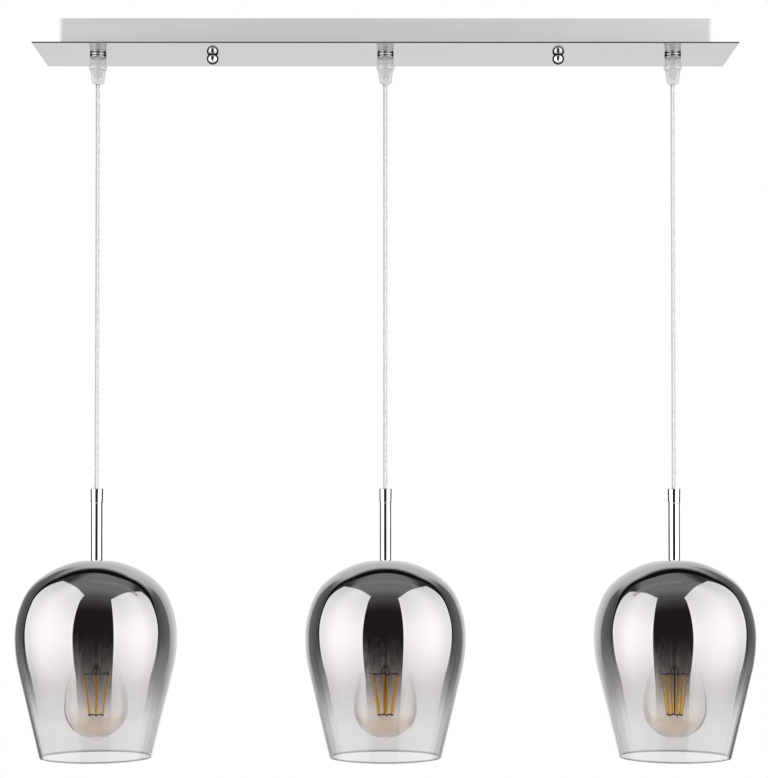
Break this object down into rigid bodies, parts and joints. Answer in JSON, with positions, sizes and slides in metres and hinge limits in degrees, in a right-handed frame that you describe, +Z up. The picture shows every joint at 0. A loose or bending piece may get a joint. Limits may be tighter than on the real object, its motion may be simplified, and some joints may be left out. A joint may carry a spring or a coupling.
{
  "type": "linear island pendant light",
  "caption": "Linear ceiling pendant light: slim brushed and polished canopy, clear cords, plated rods and metallised smoke glass bells over screw-in filament bulbs.",
  "frame": {"origin": "middle of the canopy's ceiling face", "axes": "+X along the canopy, +Z up towards the ceiling, -Y towards the viewer"},
  "size_m": [0.744, 0.162, 0.7391],
  "materials": {
    "satin_nickel": "satin, brushed along its length",
    "polished_nickel": "polished, slightly hazy",
    "zinc_steel": "bright zinc plate",
    "chrome": "bright chrome plate",
    "white_nylon": "moulded, matt",
    "brown_pvc": "insulation",
    "blue_pvc": "insulation",
    "green_pvc": "insulation, green and yellow",
    "clear_nylon": "translucent, moulded",
    "clear_pvc": "clear sheath over tinned cores",
    "silicone": "soft, translucent",
    "smoke_glass": "blown, metallised from dark at the top to clear at the rim",
    "black_thermoplastic": "moulded, matt",
    "white_ceramic": "glazed insert",
    "bulb_glass": "clear blown glass",
    "nickel_brass": "nickel plated",
    "filament": "amber phosphor sticks"
  },
  "bodies": {
    "root": {"ceiling_bracket": "zinc_steel", "bracket_studs": "zinc_steel", "canopy_box": "satin_nickel", "canopy_plate": "polished_nickel", "cap_nuts": "chrome", "terminal_block": "white_nylon", "fixing_screws": "zinc_steel", "live_leads": "brown_pvc", "neutral_leads": "blue_pvc", "earth_lead": "green_pvc", "grip_rings": "chrome", "grip_bodies": "clear_nylon", "grip_caps": "clear_nylon", "grip_locknuts": "zinc_steel", "cord_tails": "clear_pvc"},
    "left_neck": {"left_cord_neck": "clear_pvc"},
    "left_hanging_cord": {"left_cord": "clear_pvc"},
    "left_pendant": {"left_rod_collar": "chrome", "left_stem_tube": "chrome", "left_threaded_nipple": "zinc_steel", "left_seat_washer": "chrome", "left_shade_gaskets": "silicone", "left_glass_shade": "smoke_glass", "left_lampholder_cap": "black_thermoplastic", "left_lampholder_body": "black_thermoplastic", "left_socket_insert": "white_ceramic"},
    "left_bulb": {"left_bulb_glass": "bulb_glass", "left_bulb_cap": "nickel_brass", "left_bulb_stem": "bulb_glass", "left_bulb_filaments": "filament"},
    "centre_neck": {"centre_cord_neck": "clear_pvc"},
    "centre_hanging_cord": {"centre_cord": "clear_pvc"},
    "centre_pendant": {"centre_rod_collar": "chrome", "centre_stem_tube": "chrome", "centre_threaded_nipple": "zinc_steel", "centre_seat_washer": "chrome", "centre_shade_gaskets": "silicone", "centre_glass_shade": "smoke_glass", "centre_lampholder_cap": "black_thermoplastic", "centre_lampholder_body": "black_thermoplastic", "centre_socket_insert": "white_ceramic"},
    "centre_bulb": {"centre_bulb_glass": "bulb_glass", "centre_bulb_cap": "nickel_brass", "centre_bulb_stem": "bulb_glass", "centre_bulb_filaments": "filament"},
    "right_neck": {"right_cord_neck": "clear_pvc"},
    "right_hanging_cord": {"right_cord": "clear_pvc"},
    "right_pendant": {"right_rod_collar": "chrome", "right_stem_tube": "chrome", "right_threaded_nipple": "zinc_steel", "right_seat_washer": "chrome", "right_shade_gaskets": "silicone", "right_glass_shade": "smoke_glass", "right_lampholder_cap": "black_thermoplastic", "right_lampholder_body": "black_thermoplastic", "right_socket_insert": "white_ceramic"},
    "right_bulb": {"right_bulb_glass": "bulb_glass", "right_bulb_cap": "nickel_brass", "right_bulb_stem": "bulb_glass", "right_bulb_filaments": "filament"}
  },
  "joints": [
    {"name": "left_swing_front_back", "type": "hinge", "parent": "root", "child": "left_neck", "pos_m": [-0.291, 0, -0.056], "axis": [1, 0, 0], "range_deg": [-25, 25]},
    {"name": "left_swing_sideways", "type": "hinge", "parent": "left_neck", "child": "left_hanging_cord", "pos_m": [-0.291, 0, -0.056], "axis": [0, -1, 0], "range_deg": [-20, 5.5]},
    {"name": "left_height", "type": "slide", "parent": "left_hanging_cord", "child": "left_pendant", "axis": [0, 0, 1], "range_m": [0, 0.3], "deforming": ["left_cord"]},
    {"name": "left_bulb_out", "type": "slide", "parent": "left_pendant", "child": "left_bulb", "axis": [0, 0, -1], "range_m": [0, 0.16]},
    {"name": "centre_swing_front_back", "type": "hinge", "parent": "root", "child": "centre_neck", "pos_m": [0, 0, -0.056], "axis": [1, 0, 0], "range_deg": [-25, 25]},
    {"name": "centre_swing_sideways", "type": "hinge", "parent": "centre_neck", "child": "centre_hanging_cord", "pos_m": [0, 0, -0.056], "axis": [0, -1, 0], "range_deg": [-5.5, 5.5]},
    {"name": "centre_height", "type": "slide", "parent": "centre_hanging_cord", "child": "centre_pendant", "axis": [0, 0, 1], "range_m": [0, 0.3], "deforming": ["centre_cord"]},
    {"name": "centre_bulb_out", "type": "slide", "parent": "centre_pendant", "child": "centre_bulb", "axis": [0, 0, -1], "range_m": [0, 0.16]},
    {"name": "right_swing_front_back", "type": "hinge", "parent": "root", "child": "right_neck", "pos_m": [0.291, 0, -0.056], "axis": [1, 0, 0], "range_deg": [-25, 25]},
    {"name": "right_swing_sideways", "type": "hinge", "parent": "right_neck", "child": "right_hanging_cord", "pos_m": [0.291, 0, -0.056], "axis": [0, -1, 0], "range_deg": [-5.5, 20]},
    {"name": "right_height", "type": "slide", "parent": "right_hanging_cord", "child": "right_pendant", "axis": [0, 0, 1], "range_m": [0, 0.3], "deforming": ["right_cord"]},
    {"name": "right_bulb_out", "type": "slide", "parent": "right_pendant", "child": "right_bulb", "axis": [0, 0, -1], "range_m": [0, 0.16]}
  ]
}
